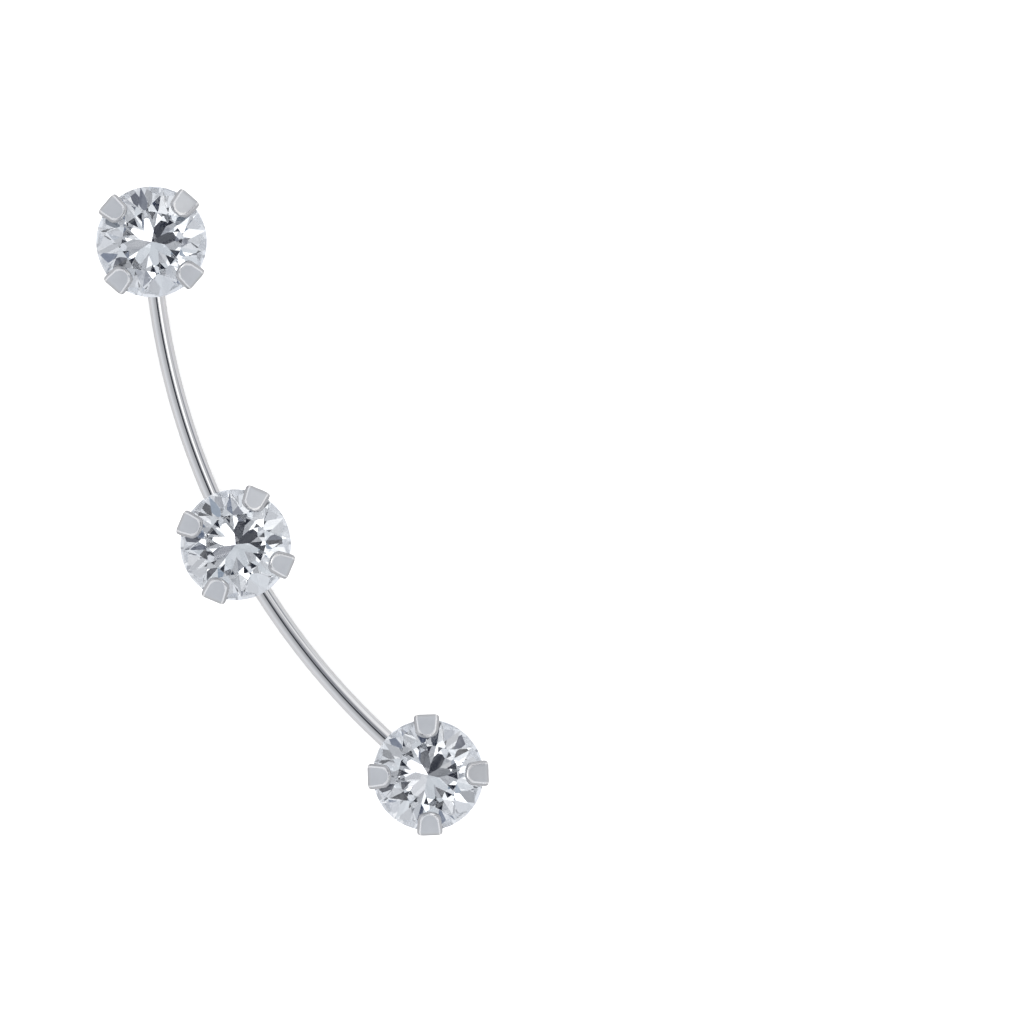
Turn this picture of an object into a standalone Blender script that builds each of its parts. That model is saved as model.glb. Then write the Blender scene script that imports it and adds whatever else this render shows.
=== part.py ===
"""Ear climber earring: three round stones in four-prong heads on one curved wire.

The wire is bent back under the lower head and runs up behind the ear as a plain pin.
The earring lies as it rests on a table, on its pin, with the stones facing up, +Z.
+Y points from the lower head to the upper one, and the origin is the middle of the
footprint. Lengths are in metres and angles in degrees.
"""

from math import ceil, cos, pi, radians, sin, tan

import bmesh
import bpy
from mathutils import Matrix, Vector

# Stones, which are round brilliants
STONE_DIAMETER = 0.0045
GIRDLE_THICKNESS = 0.00014
TABLE_SHARE = 0.577  # table width, of the diameter
CROWN_ANGLE = 35.1
PAVILION_ANGLE = 43.7
STAR_SHARE = 0.63  # reach of the star facets, of the way from table to girdle
LOWER_HALF_SHARE = 0.724  # reach of the lower half facets, of the way to the culet
MAIN_FACETS = 8
GIRDLE_SIDES = 32
STONE_TURN = 7.0  # facets against the prongs

# Wire: the front arc, the bend through the ear lobe and the pin behind the ear
WIRE_DIAMETER = 0.0007
ARC_RADIUS = 0.0295
EAR_GAP = 0.005  # clear space between front wire and pin
BEND_RADIUS = 0.0019
FRONT_OVERRUN = 0.0006  # the wire runs on past the upper head's axis
PIN_OVERRUN = 0.0004
TIP_LENGTH = 0.0004  # rounded length at each end of the wire
TIP_SHARE = 0.7  # width of a blunt end, of the wire's diameter

# Heads
PRONG_COUNT = 4
PRONG_WIDTH = 0.00104
PRONG_FOOT_WIDTH = 0.0006
PRONG_TIP_WIDTH = 0.00094
PRONG_TIP_LENGTH = 0.0005  # rounded end, measured along the prong
PRONG_THICKNESS = 0.0003
PRONG_CHAMFER = 0.00005
PRONG_PROUD = 0.00021  # outer face beyond the stone's edge
PRONG_REACH = 0.00078  # tip over the stone, in from its edge
PRONG_SHOULDER = 0.00055  # height of the upright part below the girdle
PRONG_FOOT_RADIUS = 0.00045
SHOULDER_BEND = 0.0008
CROWN_BEND = 0.00024
STONE_CLEARANCE = 0.0001
CROWN_LIFT = 0.00002  # extra room between a prong's tip and the crown
CUP_WALL = 0.00028
CUP_HEIGHT = 0.0011
CUP_SINK = 0.0001  # the cup's wall lies this far inside the prongs' outer face
CULET_LIFT = 0.00015  # culet above the cup's floor
SOLDER_DEPTH = 0.00025  # the cup's foot below the top of the wire

# Where each head sits on the arc, and which way its first prong points
HEADS = (
    {"name": "top", "place": 183.05, "turn": 49.4},
    {"name": "middle", "place": 208.0, "turn": 67.1},
    {"name": "bottom", "place": 231.8, "turn": 91.7},
)

# Fineness of round shapes
WIRE_BEVEL_STEPS = 4
ARC_STEP = 3.0
BEND_STEP = 11.25
CUP_SIDES = 24
SEAT_SIDES = 36
PRONG_BEND_STEP = 20.0
TIP_POINTS = 6
TIP_ROUNDNESS = 2.4  # power of the curve that ends a prong; 2 is an ellipse
WELD = 1e-7

STONE_RADIUS = STONE_DIAMETER / 2
WIRE_RADIUS = WIRE_DIAMETER / 2
FRONT_HEIGHT = EAR_GAP + WIRE_DIAMETER  # front wire above the pin, axis to axis
HEAD_HEIGHT = FRONT_HEIGHT + WIRE_RADIUS - SOLDER_DEPTH  # cup's foot above the pin's axis
CULET_HEIGHT = CUP_WALL + CULET_LIFT  # this and the next ones are above the cup's foot
GIRDLE_BOTTOM = CULET_HEIGHT + STONE_RADIUS * tan(radians(PAVILION_ANGLE))
GIRDLE_TOP = GIRDLE_BOTTOM + GIRDLE_THICKNESS
TABLE_RADIUS = STONE_RADIUS * TABLE_SHARE
CROWN_HEIGHT = (STONE_RADIUS - TABLE_RADIUS) * tan(radians(CROWN_ANGLE))

SILVER = {"name": "rhodium_silver", "color": (0.83, 0.83, 0.85, 1.0), "metallic": 1.0, "roughness": 0.12}
STONE = {"name": "clear_stone", "color": (0.86, 0.9, 0.95, 1.0), "metallic": 0.0, "roughness": 0.02}


def clear_scene():
    for obj in list(bpy.data.objects):
        bpy.data.objects.remove(obj)


def new_collection(name):
    collection = bpy.data.collections.new(name)
    bpy.context.scene.collection.children.link(collection)
    return collection


def principled(look):
    material = bpy.data.materials.new(look["name"])
    material.use_nodes = True
    shader = material.node_tree.nodes["Principled BSDF"]
    shader.inputs["Base Color"].default_value = look["color"]
    shader.inputs["Metallic"].default_value = look["metallic"]
    shader.inputs["Roughness"].default_value = look["roughness"]
    return material


def mesh_object(name, mesh, collection):
    obj = bpy.data.objects.new(name, mesh)
    collection.objects.link(obj)
    return obj


def evaluated_mesh(obj):
    """The object's mesh with its modifiers, or its curve as a mesh with welded caps."""
    bpy.context.view_layer.update()
    graph = bpy.context.evaluated_depsgraph_get()
    mesh = bpy.data.meshes.new_from_object(obj.evaluated_get(graph))
    bm = bmesh.new()
    bm.from_mesh(mesh)
    bmesh.ops.remove_doubles(bm, verts=bm.verts, dist=WELD)
    bm.to_mesh(mesh)
    bm.free()
    return mesh


def to_mesh(obj):
    """Replaces the object by a plain mesh object of the same name and place."""
    name, place, collection = obj.name, obj.matrix_world.copy(), obj.users_collection[0]
    mesh = evaluated_mesh(obj)
    bpy.data.objects.remove(obj)
    made = mesh_object(name, mesh, collection)
    made.matrix_world = place
    return made


def combine(target, operation, others):
    """Joins or cuts the target with the other objects, which are used up."""
    for other in others:
        modifier = target.modifiers.new(operation.lower(), "BOOLEAN")
        modifier.operation = operation
        modifier.solver = "EXACT"
        modifier.object = other
    made = to_mesh(target)
    for other in others:
        bpy.data.objects.remove(other)
    return made


def on_arc(angle, radius=ARC_RADIUS):
    """The point at this angle of the plan arc, which is centred on the origin."""
    return Vector((radius * cos(radians(angle)), radius * sin(radians(angle)), 0))


def along_arc(angle):
    """The direction of travel down the arc, from the upper head to the lower one."""
    return Vector((-sin(radians(angle)), cos(radians(angle)), 0))


def arc_angles(first, last):
    count = max(2, ceil(abs(last - first) / ARC_STEP))
    return [first + (last - first) * i / count for i in range(count + 1)]


def wire_path():
    """The wire's centre line: down the front, round the bend and up the pin."""
    top, bottom = HEADS[0]["place"], HEADS[-1]["place"]
    degrees_per_metre = 180 / (pi * ARC_RADIUS)
    lift = Vector((0, 0, FRONT_HEIGHT))
    front_start = top - FRONT_OVERRUN * degrees_per_metre
    front_round = front_start + TIP_LENGTH * degrees_per_metre
    pin_end = top - PIN_OVERRUN * degrees_per_metre
    pin_round = pin_end + TIP_LENGTH * degrees_per_metre

    points = [on_arc(front_start) + lift]
    points += [on_arc(angle) + lift for angle in arc_angles(front_round, bottom)]

    outward, corner = along_arc(bottom), on_arc(bottom)
    upper_centre = corner + Vector((0, 0, FRONT_HEIGHT - BEND_RADIUS))
    lower_centre = corner + Vector((0, 0, BEND_RADIUS))
    steps = round(90 / BEND_STEP)
    turns = [radians(90 * (i + 1) / steps) for i in range(steps)]
    for turn in turns:
        points.append(upper_centre + BEND_RADIUS * (outward * sin(turn) + Vector((0, 0, cos(turn)))))
    points.append(lower_centre + BEND_RADIUS * outward)
    for turn in turns:
        points.append(lower_centre + BEND_RADIUS * (outward * cos(turn) - Vector((0, 0, sin(turn)))))

    points += [on_arc(angle) for angle in arc_angles(bottom, pin_round)[1:]]
    points.append(on_arc(pin_end))
    return points


def make_wire(collection):
    curve = bpy.data.curves.new("wire", "CURVE")
    curve.dimensions = "3D"
    curve.bevel_depth = WIRE_RADIUS
    curve.bevel_resolution = WIRE_BEVEL_STEPS
    curve.use_fill_caps = True
    path = wire_path()
    spline = curve.splines.new("POLY")
    spline.points.add(len(path) - 1)
    for point, place in zip(spline.points, path):
        point.co = (*place, 1)
    spline.points[0].radius = TIP_SHARE
    spline.points[-1].radius = TIP_SHARE
    wire = bpy.data.objects.new("wire", curve)
    collection.objects.link(wire)
    return to_mesh(wire)


def turned(name, profile, sides, collection):
    """A solid turned about Z from (radius, height) points that run down its outer side."""
    mesh = bpy.data.meshes.new(name)
    edges = [(i, i + 1) for i in range(len(profile) - 1)]
    mesh.from_pydata([(radius, 0, height) for radius, height in profile], edges, [])
    obj = mesh_object(name, mesh, collection)
    screw = obj.modifiers.new("turn", "SCREW")
    screw.steps = screw.render_steps = sides
    screw.use_merge_vertices = True
    screw.merge_threshold = WELD
    return to_mesh(obj)


def prong_corners():
    """The (radius, height) corners of a prong's centre line: foot, shoulder, crown and tip."""
    upright = STONE_RADIUS + PRONG_PROUD - PRONG_THICKNESS / 2
    slope = radians(CROWN_ANGLE)
    lift = (STONE_CLEARANCE + CROWN_LIFT + PRONG_THICKNESS / 2) / cos(slope)

    def over_crown(radius):
        return GIRDLE_TOP + (STONE_RADIUS - radius) * tan(slope) + lift

    tip = STONE_RADIUS - PRONG_REACH
    return [
        Vector((PRONG_FOOT_RADIUS, CUP_WALL / 2)),
        Vector((upright, GIRDLE_BOTTOM - PRONG_SHOULDER)),
        Vector((upright, over_crown(upright))),
        Vector((tip, over_crown(tip))),
    ]


def prong_path():
    """The centre line with its two bends rounded, and the lengths at which the bends end."""
    foot, shoulder, crown, tip = prong_corners()
    points, ends = [foot], []
    for before, corner, after, radius in (
        (foot, shoulder, crown, SHOULDER_BEND),
        (shoulder, crown, tip, CROWN_BEND),
    ):
        way_in, way_out = (corner - before).normalized(), (after - corner).normalized()
        turn = way_in.angle(way_out)
        start = corner - way_in * radius * tan(turn / 2)
        middle = start + Vector((-way_in.y, way_in.x)) * radius
        steps = max(2, ceil(turn / radians(PRONG_BEND_STEP)))
        for i in range(steps + 1):
            angle = turn * i / steps
            spoke = Vector((way_in.y, -way_in.x)) * cos(angle) + way_in * sin(angle)
            points.append(middle + spoke * radius)
        ends.append(sum((b - a).length for a, b in zip(points, points[1:])))
    return points + [tip], ends


def prong_outline(length, shoulder_end, crown_end):
    """Half of the flat prong's outline, as (distance along it, half width)."""
    round_start = length - PRONG_TIP_LENGTH
    half = [
        (0, PRONG_FOOT_WIDTH / 2),
        (shoulder_end, PRONG_WIDTH / 2),
        (crown_end, PRONG_WIDTH / 2),
    ]
    for i in range(TIP_POINTS):
        share = sin(pi / 2 * i / TIP_POINTS)
        width = PRONG_TIP_WIDTH / 2 * (1 - share**TIP_ROUNDNESS) ** (1 / TIP_ROUNDNESS)
        half.append((round_start + PRONG_TIP_LENGTH * share, width))
    return half + [(length, 0)]


def flat_prong(half, collection):
    """The prong before it is bent: a chamfered strip lying along X."""
    outline = half + [(x, -y) for x, y in reversed(half[:-1])]
    curve = bpy.data.curves.new("prong", "CURVE")
    curve.dimensions = "2D"
    curve.fill_mode = "BOTH"
    curve.extrude = PRONG_THICKNESS / 2 - PRONG_CHAMFER
    curve.bevel_depth = PRONG_CHAMFER
    curve.bevel_resolution = 0
    curve.offset = -PRONG_CHAMFER
    spline = curve.splines.new("POLY")
    spline.points.add(len(outline) - 1)
    for point, (x, y) in zip(spline.points, outline):
        point.co = (x, y, 0, 1)
    spline.use_cyclic_u = True
    prong = bpy.data.objects.new("prong", curve)
    collection.objects.link(prong)
    return to_mesh(prong)


def bend_to_path(mesh, path):
    """Cuts the flat strip across at each path point, then lays it along the path."""
    lengths = [0.0]
    for a, b in zip(path, path[1:]):
        lengths.append(lengths[-1] + (b - a).length)
    bm = bmesh.new()
    bm.from_mesh(mesh)
    bmesh.ops.dissolve_limit(bm, angle_limit=radians(1), verts=bm.verts, edges=bm.edges)
    for length in lengths[1:-1]:
        geometry = bm.verts[:] + bm.edges[:] + bm.faces[:]
        plane = {"plane_co": (length, 0, 0), "plane_no": (1, 0, 0)}
        bmesh.ops.bisect_plane(bm, geom=geometry, dist=WELD, **plane)

    directions = [(b - a).normalized() for a, b in zip(path, path[1:])]
    for vert in bm.verts:
        along, across, out = vert.co
        i = max(k for k in range(len(directions)) if k == 0 or lengths[k] <= along + WELD)
        on_corner = 0 < i and abs(along - lengths[i]) <= 2 * WELD
        direction = directions[i]
        if on_corner:
            direction = (directions[i - 1] + directions[i]).normalized()
            out /= direction.dot(directions[i])
        place = path[i] + directions[i] * (along - lengths[i])
        place += Vector((-direction.y, direction.x)) * out
        vert.co = (place.x, across, place.y)
    bm.to_mesh(mesh)
    bm.free()


def make_prong(collection):
    path, (shoulder_end, crown_end) = prong_path()
    length = sum((b - a).length for a, b in zip(path, path[1:]))
    prong = flat_prong(prong_outline(length, shoulder_end, crown_end), collection)
    bend_to_path(prong.data, path)
    return prong


def cup_profile():
    """A dish whose wall runs inside the prongs' lower stretch, at their slope."""
    foot, shoulder = prong_corners()[:2]
    along = (shoulder - foot).normalized()
    outward = Vector((along.y, -along.x))
    on_outside = foot + outward * (PRONG_THICKNESS / 2 - CUP_SINK)
    on_inside = on_outside - outward * CUP_WALL

    def radius_at(point, height):
        return point.x + (height - point.y) * along.x / along.y

    return [
        (0, CUP_WALL),
        (radius_at(on_inside, CUP_WALL), CUP_WALL),
        (radius_at(on_inside, CUP_HEIGHT), CUP_HEIGHT),
        (radius_at(on_outside, CUP_HEIGHT), CUP_HEIGHT),
        (radius_at(on_outside, 0), 0),
        (0, 0),
    ]


def seat_profile():
    """The room that the stone takes in the prongs: its outline, grown by the clearance."""
    pavilion, crown = radians(PAVILION_ANGLE), radians(CROWN_ANGLE)
    edge = STONE_RADIUS + STONE_CLEARANCE
    culet = CULET_HEIGHT - STONE_CLEARANCE / cos(pavilion)
    top = GIRDLE_TOP + CROWN_HEIGHT + STONE_CLEARANCE
    crown_edge = GIRDLE_TOP + STONE_CLEARANCE / cos(crown) - STONE_CLEARANCE * tan(crown)
    top_radius = edge - (top - crown_edge) / tan(crown)
    return [
        (0, top),
        (top_radius, top),
        (edge, crown_edge),
        (edge, culet + edge * tan(pavilion)),
        (0, culet),
    ]


def make_head(collection):
    """One cup with its prongs, standing on the origin, the first prong along +X."""
    cup = turned("cup", cup_profile(), CUP_SIDES, collection)
    first = make_prong(collection)
    seat = turned("seat", seat_profile(), SEAT_SIDES, collection)
    first = combine(first, "DIFFERENCE", [seat])
    prongs = [first]
    for i in range(1, PRONG_COUNT):
        copy = mesh_object(f"prong_{i}", first.data.copy(), collection)
        copy.matrix_world = Matrix.Rotation(2 * pi * i / PRONG_COUNT, 4, "Z")
        prongs.append(copy)
    return combine(cup, "UNION", prongs)


def head_place(head):
    """Where a head's foot stands, turned so that its first prong points the right way."""
    spot = on_arc(head["place"]) + Vector((0, 0, HEAD_HEIGHT))
    return Matrix.Translation(spot) @ Matrix.Rotation(radians(head["turn"]), 4, "Z")


def make_frame(collection, helpers):
    """The metalwork: the wire with the three heads soldered to it, as one solid."""
    wire = make_wire(helpers)
    pattern = make_head(helpers)
    heads = []
    for head in HEADS:
        copy = mesh_object(f"head_{head['name']}", pattern.data.copy(), helpers)
        copy.matrix_world = head_place(head)
        heads.append(copy)
    bpy.data.objects.remove(pattern)
    joined = combine(wire, "UNION", heads)
    frame = mesh_object("climber_frame", joined.data, collection)
    bpy.data.objects.remove(joined)
    return frame


def facet_planes():
    """Three points on each facet of the stone but its girdle, which stays round."""
    crown, pavilion = radians(CROWN_ANGLE), radians(PAVILION_ANGLE)
    half_turn = pi / MAIN_FACETS
    star_radius = TABLE_RADIUS + (STONE_RADIUS - TABLE_RADIUS) * STAR_SHARE
    lower_radius = STONE_RADIUS * (1 - LOWER_HALF_SHARE)
    star_height = GIRDLE_TOP + (STONE_RADIUS - star_radius * cos(half_turn)) * tan(crown)
    drop = (STONE_RADIUS - lower_radius * cos(half_turn)) * tan(pavilion)
    lower_height = GIRDLE_BOTTOM - drop
    table_height = GIRDLE_TOP + CROWN_HEIGHT

    def point(radius, turn, height):
        return Vector((radius * cos(turn), radius * sin(turn), height))

    planes = [[point(TABLE_RADIUS, k * 2 * pi / 3, table_height) for k in range(3)]]
    for i in range(MAIN_FACETS):
        turn = 2 * half_turn * i
        table_corner = point(TABLE_RADIUS, turn, table_height)
        next_corner = point(TABLE_RADIUS, turn + 2 * half_turn, table_height)
        culet = point(0, 0, CULET_HEIGHT)
        for side in (-1, 1):
            beside = turn + side * half_turn
            star = point(star_radius, beside, star_height)
            lower = point(lower_radius, beside, lower_height)
            upper_edge = [point(STONE_RADIUS, t, GIRDLE_TOP) for t in (turn, beside)]
            lower_edge = [point(STONE_RADIUS, t, GIRDLE_BOTTOM) for t in (turn, beside)]
            planes += [[star, *upper_edge], [lower, *lower_edge]]
        stars = [point(star_radius, turn + side * half_turn, star_height) for side in (-1, 1)]
        lowers = [point(lower_radius, turn + side * half_turn, lower_height) for side in (-1, 1)]
        planes += [[table_corner, *stars], [culet, *lowers], [table_corner, next_corner, stars[1]]]
    return planes


def cut_facet(bm, points):
    """Takes off what lies beyond the plane through three points, and closes the cut."""
    a, b, c = points
    normal = (b - a).cross(c - a).normalized()
    middle = Vector((0, 0, (GIRDLE_BOTTOM + GIRDLE_TOP) / 2))
    if normal.dot(a - middle) < 0:
        normal.negate()
    geometry = bm.verts[:] + bm.edges[:] + bm.faces[:]
    cut = bmesh.ops.bisect_plane(
        bm, geom=geometry, dist=WELD, plane_co=a, plane_no=normal, clear_outer=True
    )
    rim = [edge for edge in cut["geom_cut"] if isinstance(edge, bmesh.types.BMEdge)]
    open_rim = [edge for edge in rim if edge.is_boundary]
    if len(open_rim) > 2:
        bmesh.ops.contextual_create(bm, geom=open_rim)


def stone_mesh():
    """A round blank cut facet by facet, in the frame of its head."""
    bm = bmesh.new()
    blank_top = GIRDLE_TOP + 2 * CROWN_HEIGHT
    bmesh.ops.create_cone(
        bm,
        cap_ends=True,
        segments=GIRDLE_SIDES,
        radius1=STONE_RADIUS,
        radius2=STONE_RADIUS,
        depth=blank_top,
        matrix=Matrix.Translation((0, 0, blank_top / 2)),
    )
    for points in facet_planes():
        cut_facet(bm, points)
    bmesh.ops.remove_doubles(bm, verts=bm.verts, dist=WELD)
    bmesh.ops.recalc_face_normals(bm, faces=bm.faces)
    mesh = bpy.data.meshes.new("stone")
    bm.to_mesh(mesh)
    bm.free()
    return mesh


def shade(obj, material):
    obj.data.materials.clear()
    obj.data.materials.append(material)


def centre_footprint(parts, anchor):
    """Moves the anchor so that the whole stands on Z = 0, centred on the origin."""
    bpy.context.view_layer.update()
    corners = [part.matrix_world @ vert.co for part in parts for vert in part.data.vertices]
    low = Vector(min(c[axis] for c in corners) for axis in range(3))
    high = Vector(max(c[axis] for c in corners) for axis in range(3))
    anchor.location = (-(low.x + high.x) / 2, -(low.y + high.y) / 2, -low.z)
    bpy.context.view_layer.update()


def main():
    clear_scene()
    collection = new_collection("ear_climber")
    helpers = new_collection("helpers")
    silver, stone_material = principled(SILVER), principled(STONE)
    anchor = bpy.data.objects.new("ear_climber", None)
    collection.objects.link(anchor)

    frame = make_frame(collection, helpers)
    frame.data.shade_smooth()
    frame.data.set_sharp_from_angle(angle=radians(30))
    shade(frame, silver)
    parts = [frame]

    cut_stone = stone_mesh()
    for head in HEADS:
        stone = mesh_object(f"stone_{head['name']}", cut_stone, collection)
        stone.matrix_world = head_place(head) @ Matrix.Rotation(radians(STONE_TURN), 4, "Z")
        shade(stone, stone_material)
        parts.append(stone)
    for part in parts:
        part.parent = anchor
    centre_footprint(parts, anchor)


main()
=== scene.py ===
"""Looks of the ear climber earring: its polished silver, its cut stones and the studio.

The CAD solids give every place. The metalwork and the stones are made again here, finer,
where the solids are. Lengths are in metres and angles in degrees.
"""

import random
from math import atan2, ceil, cos, degrees, pi, radians, sin, tan

import bmesh
import bpy
from mathutils import Matrix, Vector


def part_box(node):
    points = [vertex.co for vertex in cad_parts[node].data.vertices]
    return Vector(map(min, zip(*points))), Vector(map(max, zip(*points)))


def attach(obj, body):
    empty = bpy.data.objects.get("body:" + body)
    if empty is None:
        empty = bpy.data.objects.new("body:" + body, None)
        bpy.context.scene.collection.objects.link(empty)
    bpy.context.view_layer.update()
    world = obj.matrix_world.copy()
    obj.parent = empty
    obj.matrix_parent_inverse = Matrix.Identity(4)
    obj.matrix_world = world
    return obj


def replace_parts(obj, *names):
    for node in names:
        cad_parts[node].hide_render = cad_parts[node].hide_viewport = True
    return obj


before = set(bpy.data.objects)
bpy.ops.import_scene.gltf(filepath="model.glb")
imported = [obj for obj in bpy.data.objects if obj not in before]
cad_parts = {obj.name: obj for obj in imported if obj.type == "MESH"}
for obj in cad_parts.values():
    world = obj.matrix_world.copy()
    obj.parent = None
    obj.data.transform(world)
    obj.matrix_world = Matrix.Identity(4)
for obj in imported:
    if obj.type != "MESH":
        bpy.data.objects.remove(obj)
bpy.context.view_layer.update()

# Stones
STONE_DIAMETER = 0.0045
GIRDLE_THICKNESS = 0.00014
TABLE_SHARE = 0.577
CROWN_ANGLE = 35.1
PAVILION_ANGLE = 43.7
STAR_SHARE = 0.63
LOWER_HALF_SHARE = 0.724
STONE_TURN = 7.0
CROWN_TILT = 0.8  # the most that a crown facet is off, each way
PAVILION_TILT = 0.5
TILT_SEED = 1052
MAIN_FACETS = 8
GIRDLE_SIDES = 128

# Wire
WIRE_DIAMETER = 0.0007
BEND_RADIUS = 0.0019
FRONT_OVERRUN = 0.0006
PIN_OVERRUN = 0.0004
TIP_LENGTH = 0.0004
TIP_SHARE = 0.7
TIP_STEPS = 8
WIRE_BEVEL_STEPS = 22
ARC_STEP = 0.75
BEND_STEP = 5.0
WIRE_CREASE = 50  # edges that turn more than this stay sharp

# Heads
PRONG_COUNT = 4
PRONG_WIDTH = 0.00104
PRONG_FOOT_WIDTH = 0.0006
PRONG_TIP_WIDTH = 0.00094
PRONG_TIP_LENGTH = 0.0005
PRONG_THICKNESS = 0.0003
PRONG_EDGE = 0.00018  # how far in from its outline the prong's edge is rounded
PRONG_EDGE_STEPS = 8
PRONG_RIM = 0.00001  # half of the straight side between the two rounded edges
FLAT_FACE = 0.999  # a flat strip's face points at least this much straight out
BRIGHT_EDGE = 28.0  # the rounded edge keeps the bright material up to this slope; past it, the darker material paints shade
PRONG_PROUD = 0.00021
PRONG_REACH = 0.00084
PRONG_SHOULDER = 0.00055
PRONG_FOOT_RADIUS = 0.00045
SHOULDER_BEND = 0.0008
CROWN_BEND = 0.00024
PRONG_BEND_STEP = 6.0
TIP_POINTS = 24
TIP_ROUNDNESS = 2.1
STONE_CLEARANCE = 0.00002
CROWN_LIFT = 0.0001
CUP_WALL = 0.00028
CUP_HEIGHT = 0.0011
CUP_SINK = 0.0001
CUP_LIP = 0.00006
CUP_SIDES = 96
SEAT_SIDES = 96
CULET_LIFT = 0.00015
SOLDER_DEPTH = 0.00025
HEAD_TURNS = {"top": 49.4, "middle": 67.1, "bottom": 91.7}
HEAD_CREASE = 32
WELD = 1e-7  # vertices nearer than this are one

# The photograph's frame: the picture is 1024 px wide, and a stone in it 111 px
PHOTO_WIDTH_PX = 1024
STONE_PX = 111
CAMERA_HEIGHT = 0.3
FOOTPRINT_CENTRE_PX = (292.6, 511.1)

STONE_RADIUS = STONE_DIAMETER / 2
WIRE_RADIUS = WIRE_DIAMETER / 2
CULET_HEIGHT = CUP_WALL + CULET_LIFT
GIRDLE_BOTTOM = CULET_HEIGHT + STONE_RADIUS * tan(radians(PAVILION_ANGLE))
GIRDLE_TOP = GIRDLE_BOTTOM + GIRDLE_THICKNESS
TABLE_RADIUS = STONE_RADIUS * TABLE_SHARE
CROWN_HEIGHT = (STONE_RADIUS - TABLE_RADIUS) * tan(radians(CROWN_ANGLE))


def head_foot(name):
    """The point under a stone where its head's cup stands on the wire."""
    low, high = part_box(f"stone_{name}")
    return Vector(((low.x + high.x) / 2, (low.y + high.y) / 2, low.z - CULET_HEIGHT))


def circle_through(a, b, c):
    """Centre and radius of the circle through three points, seen from above."""
    ax, ay, bx, by, cx, cy = a.x, a.y, b.x, b.y, c.x, c.y
    d = 2 * (ax * (by - cy) + bx * (cy - ay) + cx * (ay - by))
    a2, b2, c2 = ax * ax + ay * ay, bx * bx + by * by, cx * cx + cy * cy
    ux = (a2 * (by - cy) + b2 * (cy - ay) + c2 * (ay - by)) / d
    uy = (a2 * (cx - bx) + b2 * (ax - cx) + c2 * (bx - ax)) / d
    centre = Vector((ux, uy, 0))
    return centre, (Vector((ax, ay, 0)) - centre).length


HEAD_FEET = {name: head_foot(name) for name in HEAD_TURNS}
ARC_CENTRE, ARC_RADIUS = circle_through(*HEAD_FEET.values())
PIN_HEIGHT = WIRE_RADIUS
FRONT_HEIGHT = HEAD_FEET["top"].z + SOLDER_DEPTH - WIRE_RADIUS


# Mesh helpers


def link(name, data):
    """A new object with this data, in the scene."""
    obj = bpy.data.objects.new(name, data)
    bpy.context.scene.collection.objects.link(obj)
    return obj


def evaluated_mesh(obj):
    """The object's mesh with its modifiers applied and its seams welded."""
    bpy.context.view_layer.update()
    graph = bpy.context.evaluated_depsgraph_get()
    mesh = bpy.data.meshes.new_from_object(obj.evaluated_get(graph))
    bm = bmesh.new()
    bm.from_mesh(mesh)
    bmesh.ops.remove_doubles(bm, verts=bm.verts, dist=WELD)
    bm.to_mesh(mesh)
    bm.free()
    return mesh


def to_mesh(obj):
    """Replaces the object by a plain mesh object of the same name and place."""
    name, place = obj.name, obj.matrix_world.copy()
    mesh = evaluated_mesh(obj)
    bpy.data.objects.remove(obj)
    made = link(name, mesh)
    made.matrix_world = place
    return made


def combine(target, operation, others):
    """Joins or cuts the target with the other objects, which are used up."""
    for other in others:
        modifier = target.modifiers.new(operation.lower(), "BOOLEAN")
        modifier.operation = operation
        modifier.solver = "EXACT"
        modifier.object = other
    made = to_mesh(target)
    for other in others:
        bpy.data.objects.remove(other)
    return made


def turned(name, profile, sides):
    """A solid turned about Z from (radius, height) points that run down its outer side."""
    mesh = bpy.data.meshes.new(name)
    edges = [(i, i + 1) for i in range(len(profile) - 1)]
    mesh.from_pydata([(radius, 0, height) for radius, height in profile], edges, [])
    obj = link(name, mesh)
    screw = obj.modifiers.new("turn", "SCREW")
    screw.steps = screw.render_steps = sides
    screw.use_merge_vertices = True
    screw.merge_threshold = WELD
    return to_mesh(obj)


def smooth(obj, angle):
    """Smooth shading, apart from edges that turn more than the angle."""
    obj.data.shade_smooth()
    obj.data.set_sharp_from_angle(angle=radians(angle))


# Wire


def on_arc(angle, height):
    """The point at this angle of the arc through the heads, at this height."""
    spoke = Vector((cos(radians(angle)), sin(radians(angle)), 0))
    return ARC_CENTRE + ARC_RADIUS * spoke + Vector((0, 0, height))


def along_arc(angle):
    """The arc's direction at this angle, the way that the angle grows."""
    return Vector((-sin(radians(angle)), cos(radians(angle)), 0))


def head_angle(name):
    spoke = HEAD_FEET[name] - ARC_CENTRE
    return degrees(atan2(spoke.y, spoke.x)) % 360


def even_steps(first, last, step):
    """Values from first to last, evenly spaced by no more than the step."""
    count = max(2, ceil(abs(last - first) / step))
    return [first + (last - first) * i / count for i in range(count + 1)]


def tip_shares():
    """How far along a rounded tip each ring lies, and how wide it is, from end to full."""
    rings = []
    for i in range(TIP_STEPS + 1):
        turn = pi / 2 * i / TIP_STEPS
        rings.append((1 - cos(turn), TIP_SHARE + (1 - TIP_SHARE) * sin(turn)))
    return rings


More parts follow.
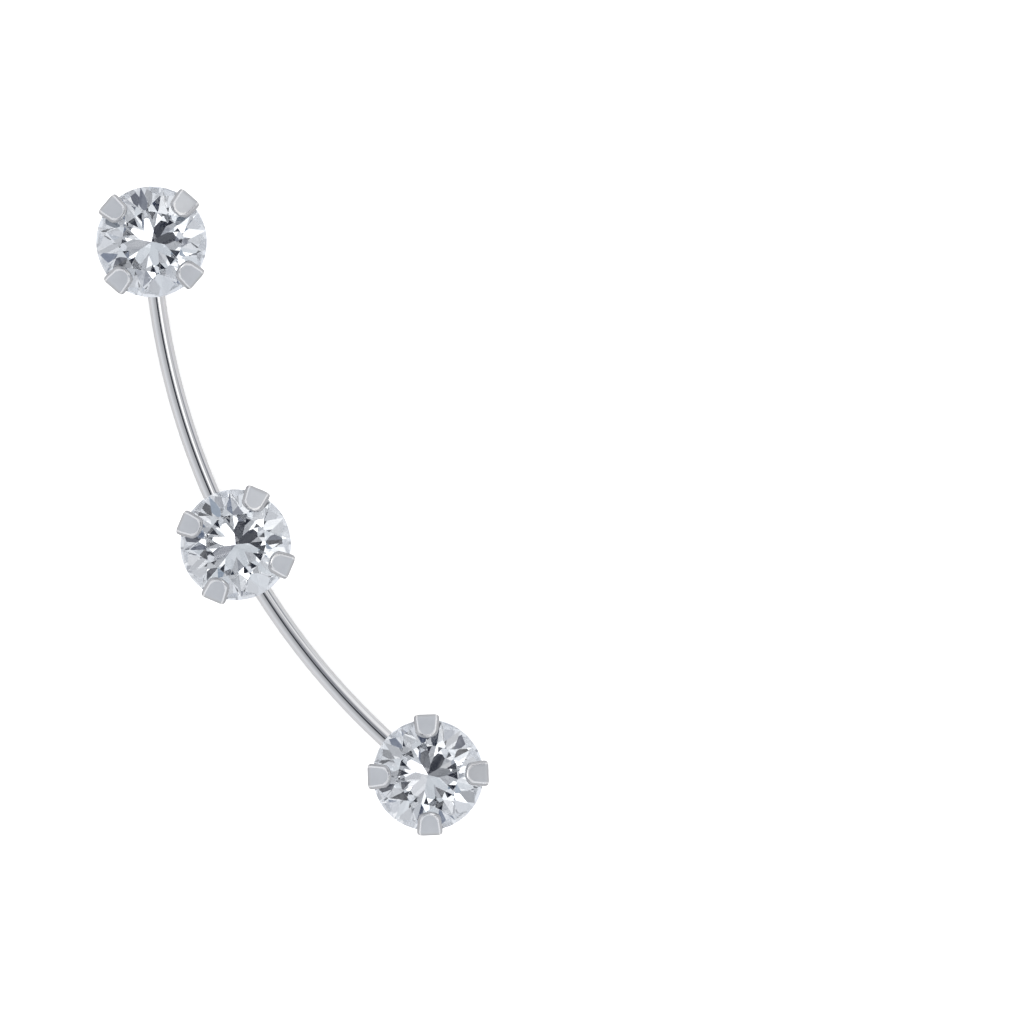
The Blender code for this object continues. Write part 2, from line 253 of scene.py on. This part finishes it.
def wire_points():
    """Centre-line points with their share of the full thickness, front end first."""
    top, bottom = head_angle("top"), head_angle("bottom")
    per_metre = degrees(1 / ARC_RADIUS)
    front_start = top - FRONT_OVERRUN * per_metre
    pin_end = top - PIN_OVERRUN * per_metre
    tip = TIP_LENGTH * per_metre
    rings = tip_shares()

    points = [(on_arc(front_start + tip * s, FRONT_HEIGHT), w) for s, w in rings]
    for angle in even_steps(front_start + tip, bottom, ARC_STEP)[1:]:
        points.append((on_arc(angle, FRONT_HEIGHT), 1))

    outward, up = along_arc(bottom), Vector((0, 0, 1))
    turns = [radians(turn) for turn in even_steps(0, 90, BEND_STEP)]
    centre = on_arc(bottom, FRONT_HEIGHT - BEND_RADIUS)
    for turn in turns[1:]:
        spoke = outward * sin(turn) + up * cos(turn)
        points.append((centre + BEND_RADIUS * spoke, 1))
    centre = on_arc(bottom, PIN_HEIGHT + BEND_RADIUS)
    for turn in turns:
        spoke = outward * cos(turn) - up * sin(turn)
        points.append((centre + BEND_RADIUS * spoke, 1))

    for angle in even_steps(bottom, pin_end + tip, ARC_STEP)[1:]:
        points.append((on_arc(angle, PIN_HEIGHT), 1))
    points += [(on_arc(pin_end + tip * s, PIN_HEIGHT), w) for s, w in reversed(rings[:-1])]
    return points


def make_wire():
    """One round wire from the front's end through the bend to the pin's end."""
    curve = bpy.data.curves.new("wire", "CURVE")
    curve.dimensions = "3D"
    curve.bevel_depth = WIRE_RADIUS
    curve.bevel_resolution = WIRE_BEVEL_STEPS
    curve.use_fill_caps = True
    points = wire_points()
    spline = curve.splines.new("POLY")
    spline.points.add(len(points) - 1)
    for point, (place, share) in zip(spline.points, points):
        point.co = (*place, 1)
        point.radius = share
    wire = to_mesh(link("front_wire_and_pin", curve))
    smooth(wire, WIRE_CREASE)
    return wire


# Heads


def prong_corners():
    """The (radius, height) corners of a prong's centre line: foot, shoulder, crown and tip."""
    upright = STONE_RADIUS + PRONG_PROUD - PRONG_THICKNESS / 2
    slope = radians(CROWN_ANGLE)
    lift = (STONE_CLEARANCE + CROWN_LIFT + PRONG_THICKNESS / 2) / cos(slope)

    def over_crown(radius):
        return GIRDLE_TOP + (STONE_RADIUS - radius) * tan(slope) + lift

    tip = STONE_RADIUS - PRONG_REACH
    return [
        Vector((PRONG_FOOT_RADIUS, CUP_WALL / 2)),
        Vector((upright, GIRDLE_BOTTOM - PRONG_SHOULDER)),
        Vector((upright, over_crown(upright))),
        Vector((tip, over_crown(tip))),
    ]


def prong_path():
    """The centre line with its two bends rounded, and the lengths at which the bends end."""
    foot, shoulder, crown, tip = prong_corners()
    points, ends = [foot], []
    for before, corner, after, radius in (
        (foot, shoulder, crown, SHOULDER_BEND),
        (shoulder, crown, tip, CROWN_BEND),
    ):
        way_in, way_out = (corner - before).normalized(), (after - corner).normalized()
        turn = way_in.angle(way_out)
        start = corner - way_in * radius * tan(turn / 2)
        middle = start + Vector((-way_in.y, way_in.x)) * radius
        steps = max(2, ceil(turn / radians(PRONG_BEND_STEP)))
        for i in range(steps + 1):
            angle = turn * i / steps
            spoke = Vector((way_in.y, -way_in.x)) * cos(angle) + way_in * sin(angle)
            points.append(middle + spoke * radius)
        ends.append(sum((b - a).length for a, b in zip(points, points[1:])))
    return points + [tip], ends


def prong_outline(length, shoulder_end, crown_end):
    """Half of the flat prong's outline, as (distance along it, half width)."""
    round_start = length - PRONG_TIP_LENGTH
    half = [
        (0, PRONG_FOOT_WIDTH / 2),
        (shoulder_end, PRONG_WIDTH / 2),
        (crown_end, PRONG_WIDTH / 2),
    ]
    for i in range(TIP_POINTS):
        share = sin(pi / 2 * i / TIP_POINTS)
        width = PRONG_TIP_WIDTH / 2 * (1 - share**TIP_ROUNDNESS) ** (1 / TIP_ROUNDNESS)
        half.append((round_start + PRONG_TIP_LENGTH * share, width))
    return half + [(length, 0)]


def flat_prong(half):
    """The prong before it is bent: a strip along X, its edges rounded wider than deep."""
    outline = half + [(x, -y) for x, y in reversed(half[:-1])]
    curve = bpy.data.curves.new("prong", "CURVE")
    curve.dimensions = "2D"
    curve.fill_mode = "BOTH"
    curve.extrude = PRONG_RIM
    curve.bevel_depth = PRONG_EDGE
    curve.bevel_resolution = PRONG_EDGE_STEPS
    curve.offset = -PRONG_EDGE
    spline = curve.splines.new("POLY")
    spline.points.add(len(outline) - 1)
    for point, (x, y) in zip(spline.points, outline):
        point.co = (x, y, 0, 1)
    spline.use_cyclic_u = True
    prong = to_mesh(link("prong", curve))
    thinner = PRONG_THICKNESS / 2 / (PRONG_RIM + PRONG_EDGE)
    prong.data.transform(Matrix.Diagonal((1, 1, thinner, 1)))
    return prong


def bend_to_path(mesh, path, satin_from):
    """Cuts the flat strip across at each path point, then lays it along the path.

    The outer face takes the second material from the given length on, and the sides and
    the inner face take the third, whose darker colour is painted shade.
    """
    lengths = [0.0]
    for a, b in zip(path, path[1:]):
        lengths.append(lengths[-1] + (b - a).length)
    bm = bmesh.new()
    bm.from_mesh(mesh)
    bmesh.ops.dissolve_limit(bm, angle_limit=radians(1), verts=bm.verts, edges=bm.edges)
    for length in lengths[1:-1]:
        geometry = bm.verts[:] + bm.edges[:] + bm.faces[:]
        plane = {"plane_co": (length, 0, 0), "plane_no": (1, 0, 0)}
        bmesh.ops.bisect_plane(bm, geom=geometry, dist=WELD, **plane)

    for face in bm.faces:
        if face.normal.z < -FLAT_FACE:
            face.material_index = 1 if face.calc_center_median().x > satin_from else 0
        # Sides and inner face: the darker material, which paints shade on them.
        elif face.normal.z > -cos(radians(BRIGHT_EDGE)):
            face.material_index = 2

    directions = [(b - a).normalized() for a, b in zip(path, path[1:])]
    for vert in bm.verts:
        along, across, out = vert.co
        i = max(k for k in range(len(directions)) if k == 0 or lengths[k] <= along + WELD)
        on_corner = 0 < i and abs(along - lengths[i]) <= 2 * WELD
        direction = directions[i]
        if on_corner:
            direction = (directions[i - 1] + directions[i]).normalized()
            out /= direction.dot(directions[i])
        place = path[i] + directions[i] * (along - lengths[i])
        place += Vector((-direction.y, direction.x)) * out
        vert.co = (place.x, across, place.y)
    bm.to_mesh(mesh)
    bm.free()


def set_back_tip(mesh, round_start):
    """Slopes the tip's end, so that it stands upright when the prong lies on the crown."""
    for vert in mesh.vertices:
        share = max(0, vert.co.x - round_start) / PRONG_TIP_LENGTH
        depth = vert.co.z + PRONG_THICKNESS / 2
        vert.co.x -= share * depth * tan(radians(CROWN_ANGLE))


def make_prong():
    """One prong, cut flat and bent up the cup and over the stone, toward +X."""
    path, (shoulder_end, crown_end) = prong_path()
    length = sum((b - a).length for a, b in zip(path, path[1:]))
    prong = flat_prong(prong_outline(length, shoulder_end, crown_end))
    set_back_tip(prong.data, length - PRONG_TIP_LENGTH)
    bend_to_path(prong.data, path, crown_end - CROWN_BEND * radians(90 - CROWN_ANGLE))
    return prong


def cup_profile():
    """A dish whose wall runs inside the prongs' lower stretch, at their slope."""
    foot, shoulder = prong_corners()[:2]
    along = (shoulder - foot).normalized()
    outward = Vector((along.y, -along.x))
    on_outside = foot + outward * (PRONG_THICKNESS / 2 - CUP_SINK)
    on_inside = on_outside - outward * CUP_WALL

    def radius_at(point, height):
        return point.x + (height - point.y) * along.x / along.y

    return [
        (0, CUP_WALL),
        (radius_at(on_inside, CUP_WALL), CUP_WALL),
        (radius_at(on_inside, CUP_HEIGHT - CUP_LIP), CUP_HEIGHT - CUP_LIP),
        (radius_at(on_inside, CUP_HEIGHT) + CUP_LIP, CUP_HEIGHT),
        (radius_at(on_outside, CUP_HEIGHT) - CUP_LIP, CUP_HEIGHT),
        (radius_at(on_outside, CUP_HEIGHT - CUP_LIP), CUP_HEIGHT - CUP_LIP),
        (radius_at(on_outside, 0), 0),
        (0, 0),
    ]


def seat_profile():
    """The room that the stone takes in the prongs: its outline, grown by the clearance."""
    pavilion, crown = radians(PAVILION_ANGLE), radians(CROWN_ANGLE)
    edge = STONE_RADIUS + STONE_CLEARANCE
    culet = CULET_HEIGHT - STONE_CLEARANCE / cos(pavilion)
    top = GIRDLE_TOP + CROWN_HEIGHT + STONE_CLEARANCE
    crown_edge = GIRDLE_TOP + STONE_CLEARANCE / cos(crown) - STONE_CLEARANCE * tan(crown)
    top_radius = edge - (top - crown_edge) / tan(crown)
    return [
        (0, top),
        (top_radius, top),
        (edge, crown_edge),
        (edge, culet + edge * tan(pavilion)),
        (0, culet),
    ]


def make_head_mesh(materials):
    """One cup with its prongs, standing on the origin, the first prong along +X."""
    cup = turned("cup", cup_profile(), CUP_SIDES)
    first = make_prong()
    for part in (cup, first):
        for material in materials:
            part.data.materials.append(material)
    seat = turned("seat", seat_profile(), SEAT_SIDES)
    first = combine(first, "DIFFERENCE", [seat])
    prongs = [first]
    for i in range(1, PRONG_COUNT):
        copy = link(f"prong_{i}", first.data.copy())
        copy.matrix_world = Matrix.Rotation(2 * pi * i / PRONG_COUNT, 4, "Z")
        prongs.append(copy)
    head = combine(cup, "UNION", prongs)
    smooth(head, HEAD_CREASE)
    mesh = head.data
    bpy.data.objects.remove(head)
    return mesh


def in_place(name, mesh, head):
    """A piece with a copy of the mesh, laid where the named head stands."""
    turn = Matrix.Rotation(radians(HEAD_TURNS[head]), 4, "Z")
    data = mesh.copy()
    data.transform(Matrix.Translation(HEAD_FEET[head]) @ turn)
    return link(name, data)


# Stones


def facet_planes():
    """Three points on each facet of the stone but its girdle, which stays round."""
    crown, pavilion = radians(CROWN_ANGLE), radians(PAVILION_ANGLE)
    half_turn = pi / MAIN_FACETS
    star_radius = TABLE_RADIUS + (STONE_RADIUS - TABLE_RADIUS) * STAR_SHARE
    lower_radius = STONE_RADIUS * (1 - LOWER_HALF_SHARE)
    star_height = GIRDLE_TOP + (STONE_RADIUS - star_radius * cos(half_turn)) * tan(crown)
    drop = (STONE_RADIUS - lower_radius * cos(half_turn)) * tan(pavilion)
    lower_height = GIRDLE_BOTTOM - drop
    table_height = GIRDLE_TOP + CROWN_HEIGHT

    def point(radius, turn, height):
        return Vector((radius * cos(turn), radius * sin(turn), height))

    planes = [[point(TABLE_RADIUS, k * 2 * pi / 3, table_height) for k in range(3)]]
    for i in range(MAIN_FACETS):
        turn = 2 * half_turn * i
        table_corner = point(TABLE_RADIUS, turn, table_height)
        next_corner = point(TABLE_RADIUS, turn + 2 * half_turn, table_height)
        culet = point(0, 0, CULET_HEIGHT)
        for side in (-1, 1):
            beside = turn + side * half_turn
            star = point(star_radius, beside, star_height)
            lower = point(lower_radius, beside, lower_height)
            upper_edge = [point(STONE_RADIUS, t, GIRDLE_TOP) for t in (turn, beside)]
            lower_edge = [point(STONE_RADIUS, t, GIRDLE_BOTTOM) for t in (turn, beside)]
            planes += [[star, *upper_edge], [lower, *lower_edge]]
        stars = [point(star_radius, turn + side * half_turn, star_height) for side in (-1, 1)]
        lowers = [point(lower_radius, turn + side * half_turn, lower_height) for side in (-1, 1)]
        planes += [[table_corner, *stars], [culet, *lowers], [table_corner, next_corner, stars[1]]]
    return planes


def tilted(normal, draw):
    """A facet's normal, off by a little at random, as on a stone that was cut by hand."""
    most = radians(CROWN_TILT if normal.z > 0 else PAVILION_TILT)
    return (normal + Vector([draw.uniform(-most, most) for _ in range(3)])).normalized()


def cut_facet(bm, points, draw=None):
    """Takes off what lies beyond the plane through three points, and closes the cut."""
    a, b, c = points
    normal = (b - a).cross(c - a).normalized()
    middle = Vector((0, 0, (GIRDLE_BOTTOM + GIRDLE_TOP) / 2))
    if normal.dot(a - middle) < 0:
        normal.negate()
    if draw:
        normal = tilted(normal, draw)
    geometry = bm.verts[:] + bm.edges[:] + bm.faces[:]
    plane = {"plane_co": (a + b + c) / 3, "plane_no": normal}
    cut = bmesh.ops.bisect_plane(bm, geom=geometry, dist=WELD, clear_outer=True, **plane)
    rim = [edge for edge in cut["geom_cut"] if isinstance(edge, bmesh.types.BMEdge)]
    open_rim = [edge for edge in rim if edge.is_boundary]
    if len(open_rim) > 2:
        bmesh.ops.contextual_create(bm, geom=open_rim)


def make_stone_mesh():
    """A round blank cut facet by facet, in the frame of its head."""
    bm = bmesh.new()
    blank_top = GIRDLE_TOP + 2 * CROWN_HEIGHT
    bmesh.ops.create_cone(
        bm,
        cap_ends=True,
        segments=GIRDLE_SIDES,
        radius1=STONE_RADIUS,
        radius2=STONE_RADIUS,
        depth=blank_top,
        matrix=Matrix.Translation((0, 0, blank_top / 2)),
    )
    draw = random.Random(TILT_SEED)
    table, *facets = facet_planes()
    cut_facet(bm, table)
    for points in facets:
        cut_facet(bm, points, draw)
    bmesh.ops.remove_doubles(bm, verts=bm.verts, dist=WELD)
    bmesh.ops.recalc_face_normals(bm, faces=bm.faces)
    mesh = bpy.data.meshes.new("stone")
    bm.to_mesh(mesh)
    bm.free()
    mesh.transform(Matrix.Rotation(radians(STONE_TURN), 4, "Z"))
    return mesh


# Materials

# Sockets of the Mix node when it mixes colours, where names repeat
MIX_FACTOR, MIX_A, MIX_B, MIX_RESULT = 0, 6, 7, 2
NOISE_LOW, NOISE_HIGH = 0.3, 0.7


def new_material(name):
    material = bpy.data.materials.new(name)
    material.use_nodes = True
    return material, material.node_tree, material.node_tree.nodes["Principled BSDF"]


def noise(tree, scale, detail=2.0):
    """A noise texture over the object's own coordinates; scale is features per metre."""
    place = tree.nodes.new("ShaderNodeTexCoord")
    texture = tree.nodes.new("ShaderNodeTexNoise")
    texture.inputs["Scale"].default_value = scale
    texture.inputs["Detail"].default_value = detail
    tree.links.new(place.outputs["Object"], texture.inputs["Vector"])
    return texture.outputs["Fac"]


def ranged(tree, value, low, high):
    """A noise value, which runs from about NOISE_LOW to NOISE_HIGH, spread over low to high."""
    spread = tree.nodes.new("ShaderNodeMapRange")
    spread.inputs["From Min"].default_value = NOISE_LOW
    spread.inputs["From Max"].default_value = NOISE_HIGH
    spread.inputs["To Min"].default_value = low
    spread.inputs["To Max"].default_value = high
    tree.links.new(value, spread.inputs["Value"])
    return spread.outputs["Result"]


def mixed(tree, weight, first, second):
    """Mixes two colours, each a socket or a plain value, by a socket's weight."""
    mix = tree.nodes.new("ShaderNodeMix")
    mix.data_type = "RGBA"
    for socket, value in ((MIX_A, first), (MIX_B, second)):
        if isinstance(value, tuple):
            mix.inputs[socket].default_value = (*value, 1)
        else:
            tree.links.new(value, mix.inputs[socket])
    tree.links.new(weight, mix.inputs[MIX_FACTOR])
    return mix.outputs[MIX_RESULT]


def varied_color(tree, shader, scale, first, second):
    """Lets the base colour drift between two close colours."""
    drift = ranged(tree, noise(tree, scale), 0, 1)
    tree.links.new(mixed(tree, drift, first, second), shader.inputs["Base Color"])


def bumped(tree, shader, value, strength, distance):
    """Lets the value raise the surface, by the distance where it is 1."""
    bump = tree.nodes.new("ShaderNodeBump")
    bump.inputs["Strength"].default_value = strength
    bump.inputs["Distance"].default_value = distance
    tree.links.new(value, bump.inputs["Height"])
    tree.links.new(bump.outputs["Normal"], shader.inputs["Normal"])


def polished_silver():
    """The wire: mirror-bright, with the faint unevenness of drawn and polished metal."""
    material, tree, shader = new_material("polished_silver")
    shader.inputs["Metallic"].default_value = 1.0
    varied_color(tree, shader, 900, (0.78, 0.78, 0.795), (0.81, 0.81, 0.82))
    fine = noise(tree, 9000, 4.0)
    tree.links.new(ranged(tree, fine, 0.05, 0.1), shader.inputs["Roughness"])
    bumped(tree, shader, fine, 0.05, 0.00001)
    return material


def bright_silver():
    """The prongs' rounded edges and the cups: not as mirror-bright as the wire."""
    material, tree, shader = new_material("bright_silver")
    shader.inputs["Metallic"].default_value = 1.0
    varied_color(tree, shader, 1200, (0.9, 0.9, 0.905), (0.94, 0.94, 0.945))
    fine = noise(tree, 12000, 4.0)
    tree.links.new(ranged(tree, fine, 0.24, 0.3), shader.inputs["Roughness"])
    bumped(tree, shader, fine, 0.02, 0.000005)
    return material


def painted_shade_silver():
    """The prongs' sides and insides: rougher, and with a darker base colour that paints in their
    shade.
    """
    material, tree, shader = new_material("painted_shade_silver")
    shader.inputs["Metallic"].default_value = 1.0
    # Painted shade: this base colour is far darker than the bright edges', so the sides read as
    # shaded.
    varied_color(tree, shader, 1500, (0.52, 0.525, 0.54), (0.6, 0.605, 0.62))
    fine = noise(tree, 15000, 4.0)
    tree.links.new(ranged(tree, fine, 0.3, 0.42), shader.inputs["Roughness"])
    bumped(tree, shader, fine, 0.1, 0.000005)
    return material


def satin_silver():
    """The prongs' outer faces: blasted on top, with shade painted in as grey where they turn down.
    """
    material, tree, shader = new_material("satin_silver")
    shader.inputs["Metallic"].default_value = 1.0
    drift = ranged(tree, noise(tree, 1500), 0, 1)
    top = mixed(tree, drift, (0.615, 0.63, 0.655), (0.665, 0.68, 0.705))
    # Painted shade: the colour greys toward (0.5, 0.505, 0.52) as the face's normal turns from up
    # to sideways.
    surface = tree.nodes.new("ShaderNodeNewGeometry")
    split = tree.nodes.new("ShaderNodeSeparateXYZ")
    tree.links.new(surface.outputs["Normal"], split.inputs["Vector"])
    painted_slope_shade = tree.nodes.new("ShaderNodeMapRange")
    painted_slope_shade.inputs["From Min"].default_value = 0.15
    painted_slope_shade.inputs["From Max"].default_value = 0.7
    tree.links.new(split.outputs["Z"], painted_slope_shade.inputs["Value"])
    color = mixed(tree, painted_slope_shade.outputs["Result"], (0.5, 0.505, 0.52), top)
    tree.links.new(color, shader.inputs["Base Color"])
    fine = noise(tree, 20000, 4.0)
    tree.links.new(ranged(tree, fine, 0.28, 0.4), shader.inputs["Roughness"])
    bumped(tree, shader, fine, 0.1, 0.000005)
    return material


def clear_stone():
    """Colourless cubic zirconia, a trace cool, as in the photo."""
    material, tree, shader = new_material("clear_stone")
    shader.inputs["Transmission Weight"].default_value = 1.0
    shader.inputs["IOR"].default_value = 2.16
    varied_color(tree, shader, 400, (0.93, 0.96, 1.0), (0.95, 0.97, 1.0))
    tree.links.new(ranged(tree, noise(tree, 5000), 0.0, 0.01), shader.inputs["Roughness"])
    return material


def pale_floor():
    """White to the camera, and darker where the metal and the stones mirror it."""
    material, tree, shader = new_material("pale_floor")
    shader.inputs["Roughness"].default_value = 0.9
    shader.inputs["Specular IOR Level"].default_value = 0.1
    drift = ranged(tree, noise(tree, 60), 0, 1)
    pale = mixed(tree, drift, (0.93, 0.93, 0.93), (0.95, 0.95, 0.95))
    path = tree.nodes.new("ShaderNodeLightPath")
    seen = mixed(tree, path.outputs["Is Camera Ray"], FLOOR_IN_METAL, pale)
    tree.links.new(seen, shader.inputs["Base Color"])
    return material


# Studio

# Round light and dark cards in the dome. Each has its azimuth from +X to +Y, its tilt from
# straight up, its size and its edge's softness, all in degrees, and its colour. Size is from
# the middle to the edge, and a later card lies over the earlier ones. The first six are for
# the wire, which mirrors them along its length, and the rest are for the stones.
CARDS = (
    (38, 18, 7, 3, (0.19, 0.2, 0.24)),
    (5, 28, 13, 3, (1.35, 1.35, 1.35)),
    (222, 6, 9, 4, (0.014, 0.017, 0.028)),
    (45, 63, 18, 8, (1.02, 1.02, 1.02)),
    (8, 66, 14, 8, (0.69, 0.69, 0.7)),
    (26, 72, 12, 5, (0.29, 0.3, 0.33)),
    (305, 39, 20, 2, (1.9, 1.9, 1.9)),
    (254, 24, 7.3, 1.2, (0.006, 0.009, 0.017)),
    (110, 43, 11.8, 1.2, (0.006, 0.009, 0.017)),
    (146, 12, 6.4, 1.2, (0.72, 0.75, 0.78)),
    (306, 24, 3.7, 1.2, (0.012, 0.017, 0.034)),
    (289, 50, 4.6, 1.2, (0.012, 0.017, 0.034)),
    (344, 12, 3.6, 1.2, (2.6, 2.6, 2.6)),
    (164, 37, 9.0, 1.2, (0.12, 0.152, 0.224)),
    (303, 43, 12.5, 1.2, (0.72, 0.75, 0.78)),
    (298, 50, 5.1, 1.2, (0.012, 0.017, 0.034)),
    (110, 41, 11.3, 1.2, (0.006, 0.009, 0.017)),
    (72, 14, 4.6, 1.2, (1.6, 1.6, 1.6)),
    (73, 43, 4.8, 1.2, (0.03, 0.043, 0.085)),
    (272, 21, 3.4, 1.2, (0.006, 0.009, 0.017)),
    (328, 39, 4.3, 1.2, (1.2, 1.2, 1.2)),
    (69, 33, 8.0, 1.2, (1.2, 1.2, 1.2)),
    (278, 46, 4.8, 1.2, (0.006, 0.009, 0.017)),
    (311, 48, 6.2, 1.2, (0.12, 0.152, 0.224)),
    (324, 18, 10.9, 1.2, (2.6, 2.6, 2.6)),
    (295, 19, 5.2, 1.2, (0.24, 0.3, 0.38)),
    (319, 51, 8.0, 1.2, (0.006, 0.009, 0.017)),
    (99, 14, 8.8, 1.2, (0.72, 0.75, 0.78)),
    (131, 49, 4.0, 1.2, (0.006, 0.009, 0.017)),
    (294, 45, 7.4, 1.2, (0.006, 0.009, 0.017)),
    (112, 35, 5.3, 1.2, (0.24, 0.3, 0.38)),
    (152, 38, 8.6, 1.2, (0.012, 0.017, 0.034)),
    (61, 19, 2.4, 1.2, (0.72, 0.75, 0.78)),
    (59, 39, 2.8, 1.2, (2.6, 2.6, 2.6)),
    (240, 28, 2.0, 1.2, (0.006, 0.009, 0.017)),
    (331, 41, 2.5, 1.2, (0.03, 0.043, 0.085)),
    (268, 36, 11.0, 1.2, (0.72, 0.75, 0.78)),
    (143, 41, 7.0, 1.2, (0.018, 0.025, 0.051)),
    (125, 16, 3.2, 1.2, (2.6, 2.6, 2.6)),
    (344, 24, 2.9, 1.2, (0.12, 0.152, 0.224)),
    (258, 39, 15.1, 1.2, (0.72, 0.75, 0.78)),
    (100, 35, 6.7, 1.2, (0.03, 0.043, 0.085)),
    (308, 54, 2.7, 1.2, (0.12, 0.152, 0.224)),
    (252, 49, 8.5, 1.2, (0.12, 0.152, 0.224)),
    (268, 49, 2.6, 1.2, (0.24, 0.3, 0.38)),
    (64, 25, 2.0, 1.2, (0.006, 0.009, 0.017)),
    (92, 8, 2.7, 1.2, (0.012, 0.017, 0.034)),
    (79, 50, 3.0, 1.2, (0.006, 0.009, 0.017)),
    (83, 38, 3.0, 1.2, (2.0, 2.0, 2.0)),
    (68, 31, 3.3, 1.2, (0.03, 0.043, 0.085)),
    (259, 22, 2.0, 1.2, (1.2, 1.2, 1.2)),
)
# The dome's (height, level) from the horizon to straight up
DOME = ((0.0, 0.86), (0.34, 0.82), (0.56, 0.73), (0.72, 0.61), (0.88, 0.52), (1.0, 0.48))
DOME_TINT = (0.98, 1.0, 1.04)
BACKDROP = (1.0, 1.0, 1.0)  # what the camera sees past the floor
EVEN_LIGHT = (2.0, 2.0, 2.0)  # lights the matt floor in the dome's place
FLOOR_IN_METAL = (0.425, 0.425, 0.43)  # the floor as metal and stones see it
FLOOR_SIZE = 1.0


def card_weight(tree, direction, azimuth, tilt, size, soft):
    """1 inside a round card and 0 outside it, with a soft edge."""
    turn, lean = radians(azimuth), radians(tilt)
    aim = (sin(lean) * cos(turn), sin(lean) * sin(turn), cos(lean))
    dot = tree.nodes.new("ShaderNodeVectorMath")
    dot.operation = "DOT_PRODUCT"
    dot.inputs[1].default_value = aim
    tree.links.new(direction, dot.inputs[0])
    edge = tree.nodes.new("ShaderNodeMapRange")
    edge.interpolation_type = "SMOOTHSTEP"
    edge.inputs["From Min"].default_value = cos(radians(size + soft))
    edge.inputs["From Max"].default_value = cos(radians(size - soft))
    tree.links.new(dot.outputs["Value"], edge.inputs["Value"])
    return edge.outputs["Result"]


def make_world():
    """The dome and its cards for metal and stones, even light for the floor, a backdrop."""
    world = bpy.data.worlds.new("studio")
    bpy.context.scene.world = world
    world.use_nodes = True
    tree = world.node_tree
    place = tree.nodes.new("ShaderNodeTexCoord")
    direction = place.outputs["Generated"]
    split = tree.nodes.new("ShaderNodeSeparateXYZ")
    tree.links.new(direction, split.inputs["Vector"])
    dome = tree.nodes.new("ShaderNodeValToRGB")
    ramp = dome.color_ramp
    while len(ramp.elements) < len(DOME):
        ramp.elements.new(0.5)
    for element, (height, level) in zip(ramp.elements, DOME):
        element.position = height
        element.color = (*(level * tint for tint in DOME_TINT), 1)
    tree.links.new(split.outputs["Z"], dome.inputs["Fac"])
    color = dome.outputs["Color"]
    for *card, tone in CARDS:
        color = mixed(tree, card_weight(tree, direction, *card), color, tone)
    path = tree.nodes.new("ShaderNodeLightPath")
    color = mixed(tree, path.outputs["Is Diffuse Ray"], color, EVEN_LIGHT)
    color = mixed(tree, path.outputs["Is Camera Ray"], color, BACKDROP)
    background = tree.nodes["Background"]
    tree.links.new(color, background.inputs["Color"])


def make_floor():
    bpy.ops.mesh.primitive_plane_add(size=FLOOR_SIZE)
    floor = bpy.context.object
    floor.name = "floor"
    floor.data.materials.append(pale_floor())


def make_camera():
    """Straight down on the stones, at the photograph's scale and framing."""
    pixel = STONE_DIAMETER / STONE_PX
    data = bpy.data.cameras.new("camera")
    data.type = "ORTHO"
    data.ortho_scale = PHOTO_WIDTH_PX * pixel
    data.clip_start = 0.001
    camera = link("camera", data)
    column, row = FOOTPRINT_CENTRE_PX
    middle = PHOTO_WIDTH_PX / 2
    camera.location = ((middle - column) * pixel, (row - middle) * pixel, CAMERA_HEIGHT)
    bpy.context.scene.camera = camera


def dress():
    """Makes every visible piece, each on the CAD solid that it replaces."""
    wire = make_wire()
    wire.data.materials.append(polished_silver())
    pieces = [wire]
    head_mesh = make_head_mesh((bright_silver(), satin_silver(), painted_shade_silver()))
    stone_mesh = make_stone_mesh()
    stone_mesh.materials.append(clear_stone())
    for name in HEAD_TURNS:
        pieces.append(in_place(f"head_{name}", head_mesh, name))
        stone = in_place(f"brilliant_{name}", stone_mesh, name)
        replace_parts(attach(stone, "root"), f"stone_{name}")
    for piece in pieces:
        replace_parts(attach(piece, "root"), "climber_frame")


make_camera()
dress()
make_floor()
make_world()
bpy.context.scene.view_settings.view_transform = "Standard"
bpy.context.scene.cycles.use_denoising = True
bpy.context.scene.cycles.max_bounces = 24
bpy.context.scene.cycles.glossy_bounces = 16
bpy.context.scene.cycles.transmission_bounces = 24
